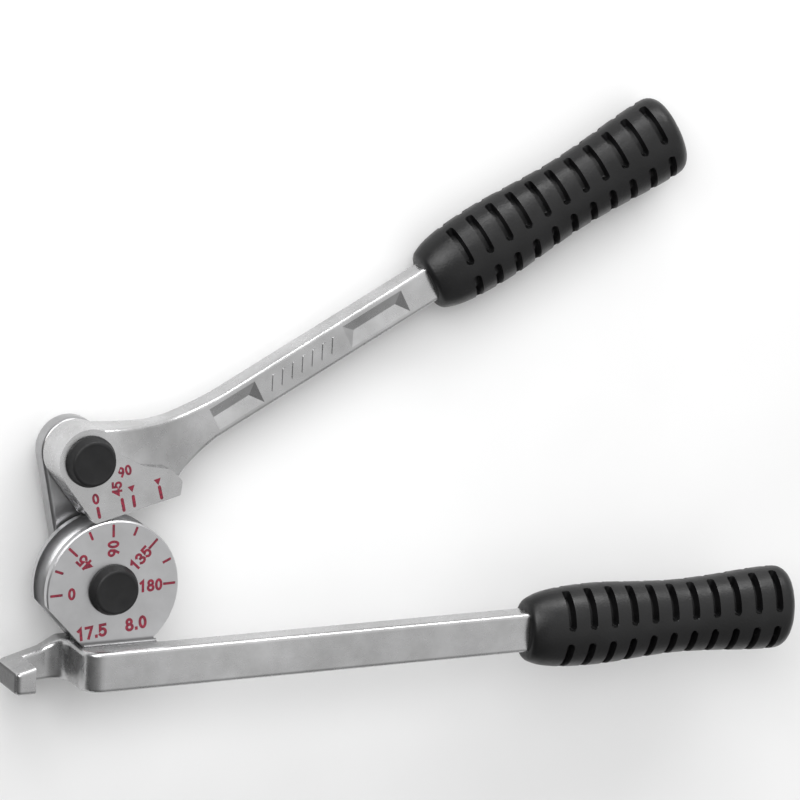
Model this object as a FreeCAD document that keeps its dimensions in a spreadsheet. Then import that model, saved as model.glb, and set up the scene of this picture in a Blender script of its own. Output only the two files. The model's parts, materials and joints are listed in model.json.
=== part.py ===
import FreeCAD, Part
import math
import os

from FreeCAD import Placement, Rotation, Vector

# Hand lever tube bender for 8 mm tube on a 17.5 mm centreline radius.
#
# The tool lies flat: +Z is the direction of both pivot pins, +X runs along the lower handle
# towards its grip, and +Y points from the lower handle towards the upper one. The origin is at
# the middle of the tool's box, at its base. Bodies are drawn in frames of their own, at the
# wheel's axis or at the shoe's axis, with z = 0 at the tube's centre plane, and a placement
# puts each one where it belongs.

DRIVING_DIMENSIONS = [
    # where the wheel's axis meets the tube's centre plane, from the origin
    ("head_x", -89.75),
    ("head_y", -46.12),
    ("head_z", 18.35),
    # tube and forming wheel
    ("bend_radius", 17.5),
    ("groove_radius", 4.05),
    ("flange_radius", 19.0),
    ("wheel_width", 11.7),
    ("wheel_chamfer", 0.35),
    ("flank_distance", 16.3),
    ("flank_angle", 221.8),
    ("seat_drop", 15.35),
    ("foot_left", -7.9),
    ("foot_right", 13.0),
    ("foot_flare", 2.0),
    ("skirt_radius", 0.7),
    ("tick_depth", 0.2),
    ("tick_width", 0.75),
    ("tick_outer_radius", 18.1),
    ("tick_major_radius", 14.5),
    ("tick_minor_radius", 15.5),
    ("scale_turn", 1.5),
    # lower handle; both handles start as a blank of this depth, cut to its side outline
    ("blank_depth", 90.0),
    ("bar_height", 11.3),
    ("bar_rear", 6.1),
    ("bar_front", 12.9),
    ("head_left", -9.9),
    ("head_right", 12.5),
    ("web_rear", -8.9),
    ("web_front", -4.4),
    ("hook_left", -27.3),
    ("hook_right", -21.6),
    ("hook_front", 6.5),
    ("hook_bottom_drop", 27.35),
    ("bar_edge_radius", 1.2),
    # dowels that key the wheel to the head
    ("dowel_radius", 1.5),
    ("dowel_depth", 4.8),
    ("dowel_left", -2.5),
    ("dowel_right", 6.5),
    # grips and the tangs inside them
    ("lower_grip_start", 122.8),
    ("upper_grip_start", 110.9),
    ("grip_length", 84.0),
    ("grip_flatness", 0.73),
    ("tang_length", 70.0),
    ("tang_width", 8.6),
    ("tang_thickness", 4.6),
    ("tang_corner_radius", 1.0),
    ("tang_clearance", 0.03),
    # link
    ("link_length", 36.8),
    ("link_angle", 102.2),
    ("link_low_radius", 9.6),
    ("link_top_radius", 8.9),
    ("link_front", -6.7),
    ("link_thickness", 5.6),
    ("link_edge_radius", 1.3),
    # upper handle, its boss and its shoe
    ("arm_angle", 28.1),
    ("arm_low", -19.4),
    ("arm_high", -9.0),
    ("arm_front", -5.9),
    ("arm_rear", -12.7),
    ("arm_edge_radius", 1.2),
    ("neck_front", 4.6),
    ("neck_sweep", 30.0),
    ("boss_radius", 8.8),
    ("boss_front", 5.85),
    ("shoe_width", 11.6),
    ("shoe_tilt", -13.9),
    ("shoe_reach", 17.4),
    ("shoe_heel", 2.4),
    ("shoe_toe", 22.9),
    ("panel_near_start", 34.0),
    ("panel_far_start", 82.5),
    ("panel_length", 19.5),
    ("panel_hip", 2.8),
    ("panel_margin", 1.8),
    ("panel_depth", 1.1),
    ("bars_start", 56.5),
    ("bars_span", 19.8),
    ("bars_count", 7),
    ("bars_low", -16.4),
    ("bars_high", -12.0),
    ("bars_slant", 2.4),
    ("bars_relief", 0.3),
    ("bars_root", 0.2),
    ("bar_width", 1.3),
    # pivots
    ("pin_radius", 4.0),
    ("running_clearance", 0.05),
    ("fit_gap", 0.02),
    ("bush_radius", 5.0),
    ("pin_head_radius", 6.6),
    ("pin_head_height", 2.4),
    ("pin_tip", 7.9),
    ("ring_groove_radius", 3.3),
    ("ring_front", 7.35),
    ("ring_thickness", 0.7),
    ("ring_radius", 5.2),
    ("ring_gap", 2.6),
    ("washer_thickness", 0.6),
    ("washer_radius", 6.3),
    ("thrust_radius", 8.4),
    ("thrust_thickness", 0.6),
    ("axial_play", 0.1),
    ("cap_radius", 7.0),
    ("cap_inner_radius", 6.5),
    ("cap_top", 9.3),
    ("cap_inner_top", 8.2),
    ("cap_chamfer", 0.9),
]

os.makedirs("parts", exist_ok=True)
doc = FreeCAD.newDocument("TubeBender")
sheet = doc.addObject("Spreadsheet::Sheet", "Dimensions")
sub_parts = []


def fill_sheet():
    """Write every driving dimension into the sheet, one row each, with its alias."""
    for row, (alias, value) in enumerate(DRIVING_DIMENSIONS, start=1):
        sheet.set("A%d" % row, alias)
        sheet.set("B%d" % row, str(value))
        sheet.setAlias("B%d" % row, alias)
    doc.recompute()


def dim(alias):
    """A driving dimension, as a number."""
    return float(sheet.get(alias))


def turned(x, y, degrees):
    """The point (x, y) turned about the origin."""
    angle = math.radians(degrees)
    return (x * math.cos(angle) - y * math.sin(angle), x * math.sin(angle) + y * math.cos(angle))


# ---------------------------------------------------------------- placements


def place_at_wheel(thing, height="0"):
    """Bind an object's placement to the wheel's axis, its own origin raised by height."""
    thing.setExpression(".Placement.Base.x", "Dimensions.head_x")
    thing.setExpression(".Placement.Base.y", "Dimensions.head_y")
    thing.setExpression(".Placement.Base.z", "Dimensions.head_z + " + height)


def place_at_shoe(thing, height="0"):
    """Bind an object's placement to the shoe's axis, its own origin raised by height."""
    reach = " + Dimensions.link_length * %s(Dimensions.link_angle * 1 deg)"
    thing.setExpression(".Placement.Base.x", "Dimensions.head_x" + reach % "cos")
    thing.setExpression(".Placement.Base.y", "Dimensions.head_y" + reach % "sin")
    thing.setExpression(".Placement.Base.z", "Dimensions.head_z + " + height)


def turn_about_z(thing, alias):
    """Bind the angle by which an object is turned about +Z."""
    thing.Placement = Placement(Vector(), Rotation(Vector(0, 0, 1), dim(alias)))
    thing.setExpression(".Placement.Rotation.Angle", "Dimensions.%s * 1 deg" % alias)


# ------------------------------------------------------- sketches and features


def new_body(label):
    body = doc.addObject("PartDesign::Body", label)
    body.Label = label
    sub_parts.append(body)
    return body


def rounded_outline(corners):
    """Edges of a closed outline given as (x, y, rounding radius) corners."""
    count = len(corners)
    cuts = []
    for index in range(count):
        x, y, radius = corners[index]
        here = Vector(x, y, 0)
        if radius == 0:
            cuts.append((here, None, here))
            continue
        back = (Vector(corners[index - 1][0], corners[index - 1][1], 0) - here).normalize()
        following = corners[(index + 1) % count]
        ahead = (Vector(following[0], following[1], 0) - here).normalize()
        half = back.getAngle(ahead) / 2
        reach = radius / math.tan(half)
        towards_centre = (back + ahead).normalize()
        middle = here + towards_centre * (radius / math.sin(half) - radius)
        cuts.append((here + back * reach, middle, here + ahead * reach))
    edges = []
    for index in range(count):
        start, middle, end = cuts[index]
        if middle is not None:
            edges.append(Part.Arc(start, middle, end))
        next_start = cuts[(index + 1) % count][0]
        if (next_start - end).Length > 1e-6:
            edges.append(Part.LineSegment(end, next_start))
    return edges


def circle(x, y, radius):
    return [Part.Circle(Vector(x, y, 0), Vector(0, 0, 1), radius)]


def box_outline(x_low, y_low, x_high, y_high):
    corners = [(x_low, y_low, 0), (x_high, y_low, 0), (x_high, y_high, 0), (x_low, y_high, 0)]
    return rounded_outline(corners)


def origin_feature(body, role):
    return [feature for feature in body.Origin.OriginFeatures if feature.Role == role][0]


def add_sketch(body, role, name, edges, offset=None):
    """A sketch on one of the body's origin planes, moved off it by an offset in the sketch's own axes."""
    sketch = body.newObject("Sketcher::SketchObject", name)
    sketch.AttachmentSupport = [(origin_feature(body, role), "")]
    sketch.MapMode = "FlatFace"
    if offset is not None:
        sketch.AttachmentOffset = offset
    sketch.addGeometry(edges, False)
    return sketch


def raised(height):
    """An offset of a sketch along its own normal."""
    return Placement(Vector(0, 0, height), Rotation())


def add_pad(body, sketch, length, symmetric=False, reverse=False):
    pad = body.newObject("PartDesign::Pad", sketch.Name + "_pad")
    pad.Profile = sketch
    pad.setExpression("Length", length)
    pad.SideType = "Symmetric" if symmetric else "One side"
    pad.Reversed = reverse
    doc.recompute()
    return pad


def add_pocket(body, sketch, length=None, reverse=False, taper=0):
    """A pocket of the given length, or right through both ways; it has to remove material."""
    before = body.Shape.Volume
    pocket = body.newObject("PartDesign::Pocket", sketch.Name + "_pocket")
    pocket.Profile = sketch
    if length is None:
        pocket.Type = "ThroughAll"
        pocket.SideType = "Symmetric"
    else:
        pocket.setExpression("Length", length)
        pocket.Reversed = reverse
        pocket.TaperAngle = taper
    doc.recompute()
    check_removed(body, pocket, before)
    return pocket


def check_removed(body, feature, before):
    if not body.Shape.Volume < before - 1e-3:
        raise RuntimeError("%s removes nothing" % feature.Name)


def add_revolution(body, sketch):
    turn = body.newObject("PartDesign::Revolution", sketch.Name + "_turn")
    turn.Profile = sketch
    turn.ReferenceAxis = (sketch, ["V_Axis"])
    turn.Angle = 360
    doc.recompute()
    return turn


def add_polar_pattern(body, feature, degrees, count):
    pattern = body.newObject("PartDesign::PolarPattern", feature.Name + "_pattern")
    pattern.Originals = [feature]
    pattern.Axis = (origin_feature(body, "Z_Axis"), [""])
    pattern.Angle = degrees
    pattern.Occurrences = count
    body.Tip = pattern
    doc.recompute()
    return pattern


def add_linear_pattern(body, feature, length, count):
    """Copies of a feature along the body's own X, over the given length."""
    pattern = body.newObject("PartDesign::LinearPattern", feature.Name + "_row")
    pattern.Originals = [feature]
    pattern.Direction = (origin_feature(body, "X_Axis"), [""])
    pattern.Length = length
    pattern.Occurrences = count
    body.Tip = pattern
    doc.recompute()
    return pattern


def round_edges(body, alias, wanted):
    """Fillet the tip's edges that the test wants, by a driving radius."""
    tip = body.Tip
    names = ["Edge%d" % (index + 1) for index, edge in enumerate(tip.Shape.Edges) if wanted(edge)]
    fillet = body.newObject("PartDesign::Fillet", alias + "_" + body.Name)
    fillet.Base = (tip, names)
    fillet.setExpression("Radius", "Dimensions." + alias)
    doc.recompute()
    return fillet


def middle_of(edge):
    return edge.valueAt((edge.FirstParameter + edge.LastParameter) / 2)


def near(value, target, reach=0.02):
    return abs(value - target) < reach


# ---------------------------------------------------------------- lower handle


def make_lower_handle():
    """Forged bar: the hook, the web behind the tube, the head under the wheel, the bar and its tang."""
    body = new_body("lower_handle")
    place_at_wheel(body)
    plan = [
        (dim("hook_left"), dim("web_rear"), 2.5),
        (dim("hook_left"), dim("hook_front"), 1.6),
        (dim("hook_right"), dim("hook_front"), 0),
        (dim("hook_right"), dim("web_front"), 0),
        (dim("head_left"), dim("web_front"), 5.0),
        (dim("head_left"), dim("bar_front"), 5.5),
        (dim("lower_grip_start"), dim("bar_front"), 0),
        (dim("lower_grip_start"), dim("bar_rear"), 0),
        (dim("head_right"), dim("bar_rear"), 2.0),
        (dim("head_right"), dim("web_rear"), 2.0),
    ]
    blank = add_sketch(body, "XZ_Plane", "lower_plan", rounded_outline(plan))
    add_pad(body, blank, "Dimensions.blank_depth", symmetric=True)

    top = -dim("seat_drop")
    bottom = top - dim("bar_height")
    hook_bottom = -dim("hook_bottom_drop")
    past_hook = dim("hook_left") - 2
    past_bar = dim("lower_grip_start") + 2
    side = [
        (past_hook, hook_bottom, 0),
        (past_hook, -21.7, 0),
        (-21.3, -19.6, 6.0),
        (-15.8, -18.1, 4.0),
        (-10.8, top, 2.0),
        (past_bar, top, 0),
        (past_bar, bottom, 0),
        (-7.0, bottom, 12.0),
        (-18.0, hook_bottom, 12.0),
    ]
    surround = box_outline(past_hook - 10, -60, past_bar + 10, 60)
    outside = add_sketch(body, "XY_Plane", "lower_side", surround + rounded_outline(side))
    add_pocket(body, outside)

    def on_bar_edge(edge):
        point = middle_of(edge)
        along = abs(edge.tangentAt(edge.FirstParameter).x) > 0.999
        on_face = near(point.z, dim("bar_front")) or near(point.z, dim("bar_rear"))
        on_side = near(point.y, top) or near(point.y, bottom)
        return along and on_face and on_side and edge.Length > 50

    round_edges(body, "bar_edge_radius", on_bar_edge)
    centre_y = (top + bottom) / 2
    centre_z = (dim("bar_front") + dim("bar_rear")) / 2
    add_tang(body, dim("lower_grip_start"), centre_y, centre_z)
    add_dowel_holes(body, reverse=True)
    return body


def tang_outline(centre_y, centre_z, clearance):
    """Section of a tang, or of the hole for it with the clearance all round."""
    half_width = dim("tang_width") / 2 + clearance
    half_thickness = dim("tang_thickness") / 2 + clearance
    corners = []
    for across, through in ((-1, -1), (1, -1), (1, 1), (-1, 1)):
        y = centre_y + across * half_width
        z = centre_z + through * half_thickness
        corners.append((y, z, dim("tang_corner_radius")))
    return rounded_outline(corners)


def add_tang(body, start, centre_y, centre_z):
    """The thinner end of a bar, which the grip is pushed over."""
    outline = tang_outline(centre_y, centre_z, 0)
    sketch = add_sketch(body, "YZ_Plane", body.Name + "_tang", outline, raised(start))
    return add_pad(body, sketch, "Dimensions.tang_length")


def add_dowel_holes(body, reverse):
    """Two blind holes from the seat plane, up into the wheel's foot or down into the handle's head."""
    holes = []
    for alias in ("dowel_left", "dowel_right"):
        holes += circle(dim(alias), 0, dim("dowel_radius") + dim("fit_gap"))
    sketch = add_sketch(body, "XZ_Plane", body.Name + "_dowels", holes, raised(dim("seat_drop")))
    add_pocket(body, sketch, "Dimensions.dowel_depth + 0.2", reverse)


# --------------------------------------------------------------- forming wheel


def make_forming_wheel():
    """Grooved wheel with a cut flank where the tube comes in, standing on the handle's head."""
    body = new_body("forming_wheel")
    place_at_wheel(body)
    half = dim("wheel_width") / 2
    rim = dim("flange_radius")
    chamfer = dim("wheel_chamfer")
    bore = dim("pin_radius") + dim("fit_gap")
    mouth = math.sqrt(dim("groove_radius") ** 2 - (rim - dim("bend_radius")) ** 2)
    groove_bottom = Vector(dim("bend_radius") - dim("groove_radius"), 0, 0)
    points = [
        Vector(rim, -mouth, 0),
        Vector(rim, -half + chamfer, 0),
        Vector(rim - chamfer, -half, 0),
        Vector(bore, -half, 0),
        Vector(bore, half, 0),
        Vector(rim - chamfer, half, 0),
        Vector(rim, half - chamfer, 0),
        Vector(rim, mouth, 0),
    ]
    profile = [Part.LineSegment(start, end) for start, end in zip(points, points[1:])]
    profile.append(Part.Arc(points[-1], groove_bottom, points[0]))
    add_revolution(body, add_sketch(body, "XZ_Plane", "wheel_section", profile))

    add_pocket(body, add_sketch(body, "XY_Plane", "wheel_flank", flank_outline()))
    below = box_outline(-40, -60, 40, -dim("seat_drop"))
    add_pocket(body, add_sketch(body, "XY_Plane", "wheel_underside", below))
    add_wheel_foot(body)
    add_dowel_holes(body, reverse=False)
    add_scale(body, half)
    return body


def flank_outline():
    """Everything beyond the straight flank, as a box turned to face it."""
    near_side = dim("flank_distance")
    corners = []
    for x, y in ((near_side, -30), (60, -30), (60, 30), (near_side, 30)):
        corners.append(turned(x, y, dim("flank_angle")) + (0,))
    return rounded_outline(corners)


def add_wheel_foot(body):
    """The wheel's foot on the seat, with its flare to the right and its rounded skirt in front."""
    seat = -dim("seat_drop")
    flare = dim("foot_flare")
    foot = [
        (dim("foot_left"), seat, 0),
        (dim("foot_right"), seat, 0),
        (dim("foot_right") - 1.5, seat + flare, 0),
        (9.0, -9.0, 0),
        (-5.0, -9.0, 0),
        (-6.0, seat + 4.0, 0),
    ]
    sketch = add_sketch(body, "XY_Plane", "wheel_foot", rounded_outline(foot))
    add_pad(body, sketch, "Dimensions.wheel_width", symmetric=True)
    face = dim("wheel_width") / 2
    radius = dim("skirt_radius")
    toe = Vector(seat, face + radius, 0)
    heel = Vector(seat, face, 0)
    crest = Vector(seat + radius, face, 0)
    inset = radius * (1 - math.sqrt(0.5))
    skirt = [
        Part.LineSegment(heel, toe),
        Part.Arc(toe, Vector(seat + inset, face + inset, 0), crest),
        Part.LineSegment(crest, heel),
    ]
    sketch = add_sketch(body, "YZ_Plane", "wheel_skirt", skirt, raised(dim("foot_left")))
    add_pad(body, sketch, "Dimensions.foot_right - Dimensions.foot_left")


def add_scale(body, face):
    """Engraved ticks every 22.5 degrees over the upper half: long ones every 45 and short ones between."""
    for name, inner, first, span, count in (
        ("major", dim("tick_major_radius"), 0.0, 180.0, 5),
        ("minor", dim("tick_minor_radius"), 22.5, 135.0, 4),
    ):
        half = dim("tick_width") / 2
        outer = dim("tick_outer_radius")
        corners = []
        for x, y in ((inner, -half), (outer, -half), (outer, half), (inner, half)):
            corners.append(turned(x, y, first + dim("scale_turn")) + (0,))
        sketch = add_sketch(body, "XY_Plane", "tick_" + name, rounded_outline(corners), raised(face))
        tick = add_pocket(body, sketch, "Dimensions.tick_depth")
        add_polar_pattern(body, tick, span, count)


# ------------------------------------------------------------------------ link


def make_link():
    """Tapered plate behind the wheel and the shoe, with an eye at each end."""
    body = new_body("link")
    turn_about_z(body, "link_angle")
    place_at_wheel(body)
    low = dim("link_low_radius")
    top = dim("link_top_radius")
    length = dim("link_length")
    slope = math.asin((low - top) / length)
    normal = Vector(math.sin(slope), math.cos(slope), 0)
    mirrored = Vector(normal.x, -normal.y, 0)
    far = Vector(length, 0, 0)
    edges = [
        Part.Arc(normal * low, Vector(-low, 0, 0), mirrored * low),
        Part.LineSegment(mirrored * low, far + mirrored * top),
        Part.Arc(far + mirrored * top, far + Vector(top, 0, 0), far + normal * top),
        Part.LineSegment(far + normal * top, normal * low),
    ]
    rear = dim("link_front") - dim("link_thickness")
    outline = add_sketch(body, "XY_Plane", "link_outline", edges, raised(rear))
    add_pad(body, outline, "Dimensions.link_thickness")
    round_edges(body, "link_edge_radius", lambda edge: abs(edge.tangentAt(edge.FirstParameter).z) < 0.5)
    eyes = circle(0, 0, dim("bush_radius") + dim("fit_gap"))
    eyes += circle(length, 0, dim("pin_radius") + dim("fit_gap"))
    add_pocket(body, add_sketch(body, "XY_Plane", "link_eyes", eyes))
    return body


# ---------------------------------------------------------------- upper handle


def make_upper_handle():
    """Forged arm along x, set back behind the wheel's plane, with its boss and the grooved shoe."""
    body = new_body("upper_handle")
    turn_about_z(body, "arm_angle")
    place_at_shoe(body)
    boss_rear = -dim("boss_front")
    shoulder = dim("neck_front")
    sweep = dim("neck_sweep")
    set_back = [
        (-12.0, shoulder, 0),
        (12.0, shoulder, sweep),
        (31.0, dim("arm_front"), sweep),
        (dim("upper_grip_start"), dim("arm_front"), 0),
        (dim("upper_grip_start"), dim("arm_rear"), 0),
        (34.0, dim("arm_rear"), sweep),
        (15.0, boss_rear, sweep),
        (-12.0, boss_rear, 0),
    ]
    blank = add_sketch(body, "XZ_Plane", "arm_plan", rounded_outline(set_back))
    add_pad(body, blank, "Dimensions.blank_depth", symmetric=True)

    past_bar = dim("upper_grip_start") + 2
    side = [
        (-6.0, -5.0, 2.0),
        (-5.0, 7.0, 5.0),
        (2.5, 8.2, 2.0),
        (30.7, dim("arm_high"), 47.0),
        (past_bar, dim("arm_high"), 0),
        (past_bar, dim("arm_low"), 0),
        (37.0, dim("arm_low"), 20.0),
        (21.3, -20.9, 0),
    ]
    surround = box_outline(-40, -60, past_bar + 10, 60)
    outside = add_sketch(body, "XY_Plane", "arm_side", surround + rounded_outline(side))
    add_pocket(body, outside)

    def on_arm_edge(edge):
        point = middle_of(edge)
        along = abs(edge.tangentAt(edge.FirstParameter).x) > 0.999
        on_face = near(point.z, dim("arm_front")) or near(point.z, dim("arm_rear"))
        on_side = near(point.y, dim("arm_high")) or near(point.y, dim("arm_low"))
        return along and on_face and on_side and edge.Length > 30

    round_edges(body, "arm_edge_radius", on_arm_edge)
    boss = add_sketch(body, "XY_Plane", "boss", circle(0, 0, dim("boss_radius")))
    add_pad(body, boss, "2 * Dimensions.boss_front", symmetric=True)
    add_shoe(body)
    bore = add_sketch(body, "XY_Plane", "boss_bore", circle(0, 0, dim("bush_radius") + dim("fit_gap")))
    add_pocket(body, bore)
    add_panels(body)
    add_raised_bars(body)
    centre_y = (dim("arm_high") + dim("arm_low")) / 2
    centre_z = (dim("arm_front") + dim("arm_rear")) / 2
    add_tang(body, dim("upper_grip_start"), centre_y, centre_z)
    return body


def add_shoe(body):
    """The forming shoe: a block as wide as the wheel, with half of the tube's groove along its face."""
    tilt = dim("shoe_tilt")
    reach = dim("shoe_reach")
    heel = turned(-dim("shoe_heel"), -reach, tilt)
    toe = turned(dim("shoe_toe"), -reach, tilt)
    outline = [
        (-dim("boss_radius") + 0.05, -0.9, 0),
        heel + (1.2,),
        toe + (0.6,),
        (20.3, -19.2, 1.2),
        (18.9, -14.4, 3.0),
        (12.3, -9.2, 5.0),
        (7.3, -1.6, 0),
        (0.0, 5.0, 0),
    ]
    sketch = add_sketch(body, "XY_Plane", "shoe", rounded_outline(outline))
    add_pad(body, sketch, "Dimensions.shoe_width", symmetric=True)

    pin_to_tube = dim("link_length") - dim("bend_radius")
    along_face = Placement(Vector(), Rotation(Vector(0, 1, 0), tilt))
    groove = circle(-pin_to_tube, 0, dim("groove_radius"))
    add_pocket(body, add_sketch(body, "YZ_Plane", "shoe_groove", groove, along_face))


def add_panels(body):
    """Two sunk panels on the arm's front face, shaped like a hipped roof turned upside down."""
    low = dim("arm_low") + dim("panel_margin")
    high = dim("arm_high") - dim("panel_margin")
    for name in ("near", "far"):
        before = body.Shape.Volume
        left = dim("panel_%s_start" % name)
        right = left + dim("panel_length")
        roof = body.newObject("PartDesign::SubtractiveWedge", "panel_" + name)
        roof.AttachmentSupport = [(origin_feature(body, "XY_Plane"), "")]
        roof.MapMode = "FlatFace"
        roof.AttachmentOffset = Placement(Vector(0, 0, dim("arm_front")), Rotation(Vector(1, 0, 0), -90))
        roof.Xmin, roof.Xmax = left, right
        roof.Zmin, roof.Zmax = low, high
        roof.Ymin = 0
        roof.setExpression("Ymax", "Dimensions.panel_depth")
        roof.X2min, roof.X2max = left + dim("panel_hip"), right - dim("panel_hip")
        ridge = low + (high - low) * 0.55
        roof.Z2min, roof.Z2max = ridge - 0.05, ridge + 0.05
        doc.recompute()
        check_removed(body, roof, before)


def add_raised_bars(body):
    """A row of low slanted bars between the two panels."""
    low = dim("bars_low")
    high = dim("bars_high")
    left = dim("bars_start")
    slant = dim("bars_slant")
    width = dim("bar_width")
    outline = [
        (left, low, 0.4),
        (left + width, low, 0.4),
        (left + width + slant, high, 0.4),
        (left + slant, high, 0.4),
    ]
    root = raised(dim("arm_front") - dim("bars_root"))
    sketch = add_sketch(body, "XY_Plane", "slanted_bar", rounded_outline(outline), root)
    bar = add_pad(body, sketch, "Dimensions.bars_relief + Dimensions.bars_root")
    add_linear_pattern(body, bar, dim("bars_span"), int(dim("bars_count")))


# ----------------------------------------------------------------------- grips


GRIP_STATIONS = [
    # fraction of the length from the mouth, half of the width
    (0.0, 8.6),
    (0.2, 11.6),
    (0.4, 11.2),
    (0.6, 10.5),
    (0.8, 11.7),
    (1.0, 11.8),
]


def make_grip(label, start, centre_y, centre_z):
    """Rubber sleeve: an oval, waisted body with a blind hole for the tang."""
    body = new_body(label)
    sketches = []
    for fraction, half_width in GRIP_STATIONS:
        distance = fraction * dim("grip_length")
        oval = Part.Ellipse(Vector(centre_y, centre_z, 0), half_width, half_width * dim("grip_flatness"))
        name = "%s_at_%d" % (label, round(distance))
        sketches.append(add_sketch(body, "YZ_Plane", name, [oval], raised(start + distance)))
    loft = body.newObject("PartDesign::AdditiveLoft", label + "_loft")
    loft.Profile = sketches[0]
    loft.Sections = sketches[1:]
    doc.recompute()
    outline = tang_outline(centre_y, centre_z, dim("tang_clearance"))
    hole = add_sketch(body, "YZ_Plane", label + "_hole", outline, raised(start))
    add_pocket(body, hole, "Dimensions.tang_length + 0.5", reverse=True)
    return body


def make_grips():
    lower_y = -dim("seat_drop") - dim("bar_height") / 2
    lower_z = (dim("bar_front") + dim("bar_rear")) / 2
    lower = make_grip("lower_grip", dim("lower_grip_start"), lower_y, lower_z)
    place_at_wheel(lower)
    upper_y = (dim("arm_high") + dim("arm_low")) / 2
    upper_z = (dim("arm_front") + dim("arm_rear")) / 2
    upper = make_grip("upper_grip", dim("upper_grip_start"), upper_y, upper_z)
    turn_about_z(upper, "arm_angle")
    place_at_shoe(upper)


# ---------------------------------------------------------------------- pivots


def make_pin(label, place, head_rear):
    """Headed pin: the head behind the link, a groove for the retaining ring near the tip."""
    body = new_body(label)
    place(body)
    radius = dim("pin_radius")
    head = dim("pin_head_radius")
    shoulder = head_rear + dim("pin_head_height")
    ring_rear = dim("ring_front") - dim("ring_thickness") - 0.05
    groove = dim("ring_groove_radius")
    section = [
        (0, head_rear, 0),
        (head - 0.6, head_rear, 0),
        (head, head_rear + 0.6, 0),
        (head, shoulder, 0),
        (radius, shoulder, 0),
        (radius, ring_rear, 0),
        (groove, ring_rear, 0),
        (groove, dim("ring_front"), 0),
        (radius, dim("ring_front"), 0),
        (radius - 0.3, dim("pin_tip"), 0),
        (0, dim("pin_tip"), 0),
    ]
    add_revolution(body, add_sketch(body, "XZ_Plane", label + "_section", rounded_outline(section)))


def make_cap(label, place):
    """Black cap that covers the pin's tip, its ring and its washer."""
    body = new_body(label)
    place(body)
    base = dim("boss_front") + dim("axial_play")
    outer = dim("cap_radius")
    inner = dim("cap_inner_radius")
    top = dim("cap_top")
    section = [
        (0, dim("cap_inner_top"), 0),
        (inner - 0.6, dim("cap_inner_top"), 0),
        (inner, dim("cap_inner_top") - 0.6, 0),
        (inner, base, 0),
        (outer, base, 0),
        (outer, top - dim("cap_chamfer"), 0.3),
        (outer - dim("cap_chamfer"), top, 0.3),
        (0, top, 0),
    ]
    add_revolution(body, add_sketch(body, "XZ_Plane", label + "_section", rounded_outline(section)))


def make_collar(label, place, outer, inner, low, height):
    """A plain ring cut from two bound cylinders: washers and bushes."""
    solids = []
    for role, radius in (("outer", outer), ("inner", inner)):
        cylinder = doc.addObject("Part::Cylinder", "%s_%s" % (label, role))
        cylinder.setExpression("Radius", radius)
        cylinder.setExpression("Height", height)
        place(cylinder, low)
        solids.append(cylinder)
    collar = doc.addObject("Part::Cut", label)
    collar.Base, collar.Tool = solids
    collar.Label = label
    sub_parts.append(collar)
    return collar


def make_ring(label, place):
    """Retaining ring: a collar in the pin's groove, open on one side."""
    collar = make_collar(
        label + "_collar",
        place,
        "Dimensions.ring_radius",
        "Dimensions.ring_groove_radius + Dimensions.fit_gap",
        "Dimensions.ring_front - Dimensions.ring_thickness",
        "Dimensions.ring_thickness",
    )
    sub_parts.remove(collar)
    slot = doc.addObject("Part::Box", label + "_slot")
    slot.setExpression("Length", "Dimensions.ring_radius + 1")
    slot.setExpression("Width", "Dimensions.ring_gap")
    slot.setExpression("Height", "Dimensions.ring_thickness + 1")
    place(slot, "Dimensions.ring_front - Dimensions.ring_thickness - 0.5")
    slot.setExpression(".Placement.Base.y", slot_line(place))
    ring = doc.addObject("Part::Cut", label)
    ring.Base = collar
    ring.Tool = slot
    ring.Label = label
    sub_parts.append(ring)


def slot_line(place):
    """Expression of the y at which a ring's slot starts, so that it is centred on the pin."""
    centre = "Dimensions.head_y - Dimensions.ring_gap / 2"
    if place is place_at_shoe:
        centre += " + Dimensions.link_length * sin(Dimensions.link_angle * 1 deg)"
    return centre


def make_pivots():
    """Both pivots: pins, bushes, washers, retaining rings and caps."""
    link_rear = dim("link_front") - dim("link_thickness")
    wheel_head = link_rear - dim("axial_play") - dim("pin_head_height")
    make_pin("wheel_pin", place_at_wheel, wheel_head)
    make_pin("shoe_pin", place_at_shoe, link_rear - dim("pin_head_height"))
    bush = ("Dimensions.bush_radius", "Dimensions.pin_radius + Dimensions.running_clearance")
    make_collar(
        "link_bush",
        place_at_wheel,
        *bush,
        "Dimensions.link_front - Dimensions.link_thickness",
        "Dimensions.link_thickness",
    )
    make_collar("shoe_bush", place_at_shoe, *bush, "-Dimensions.boss_front", "2 * Dimensions.boss_front")
    for side, place in (("wheel", place_at_wheel), ("shoe", place_at_shoe)):
        make_collar(
            side + "_pin_washer",
            place,
            "Dimensions.washer_radius",
            "Dimensions.pin_radius + Dimensions.running_clearance",
            "Dimensions.boss_front + Dimensions.axial_play",
            "Dimensions.washer_thickness",
        )
        make_ring(side + "_pin_ring", place)
        make_cap(side + "_pin_cap", place)
    thrust = ("Dimensions.thrust_radius", "Dimensions.pin_radius + 2 * Dimensions.running_clearance")
    make_collar(
        "wheel_thrust_washer",
        place_at_wheel,
        *thrust,
        "-Dimensions.wheel_width / 2 - Dimensions.thrust_thickness",
        "Dimensions.thrust_thickness",
    )
    make_collar(
        "shoe_thrust_washer",
        place_at_shoe,
        *thrust,
        "Dimensions.link_front",
        "Dimensions.thrust_thickness",
    )


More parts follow.
